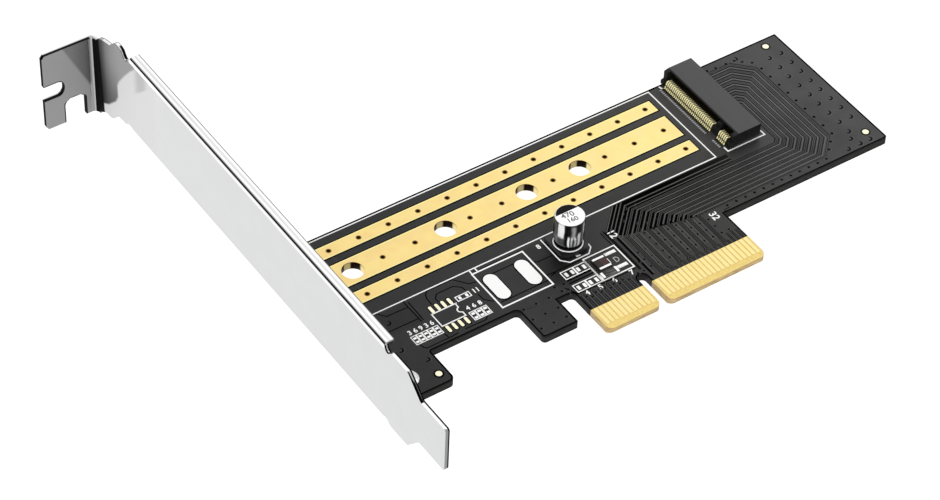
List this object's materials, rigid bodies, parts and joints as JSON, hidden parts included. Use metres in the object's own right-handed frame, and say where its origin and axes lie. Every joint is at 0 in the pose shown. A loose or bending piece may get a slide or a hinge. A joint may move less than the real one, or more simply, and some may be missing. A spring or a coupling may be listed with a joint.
{
  "type": "nvme adapter card",
  "caption": "Expansion card that carries a bare M.2 drive: edge-contact board with a keyed low-profile socket, exposed gold cooling strips, a round capacitor and a full-height slot bracket.",
  "frame": {"origin": "middle of the underside of the overall box, below the board's solder side", "axes": "+X along the board away from the slot bracket, +Y along the bracket towards its bent tab (the edge contacts point to -Y), +Z out of the component side"},
  "size_m": [0.1276, 0.12, 0.0237],
  "materials": {
    "solder_mask": "satin black",
    "gold": "thin gold plating, fine grain",
    "tin": "tinned, soft sheen",
    "socket_black": "moulded matt black",
    "can_aluminium": "bright drawn",
    "base_black": "moulded matt black",
    "chip_brown": "fired ceramic, red-brown",
    "chip_dark": "glazed dark ceramic",
    "bracket_steel": "bright nickel plate",
    "screw_steel": "nickel plate"
  },
  "bodies": {
    "root": {"circuit_board": "solder_mask", "strip_upper": "gold", "strip_middle": "gold", "strip_lower": "gold", "retention_hole_lands": "gold", "thermal_vias": "gold", "edge_contacts_component_side": "gold", "edge_contacts_solder_side": "gold", "inductor_pads": "tin", "chip_socket_pads": "gold", "spare_chip_pads": "tin", "small_part_pads": "tin", "fiducial_marks": "gold", "socket_housing": "socket_black", "socket_contacts_lower": "gold", "socket_contacts_upper": "gold", "capacitor_base": "base_black", "capacitor_can": "can_aluminium", "capacitor_leads": "tin", "chip_capacitor_body": "chip_brown", "chip_capacitor_ends": "tin", "chip_resistor_body": "chip_dark", "chip_resistor_ends": "tin", "slot_bracket": "bracket_steel", "bracket_screws": "screw_steel"}
  },
  "joints": []
}
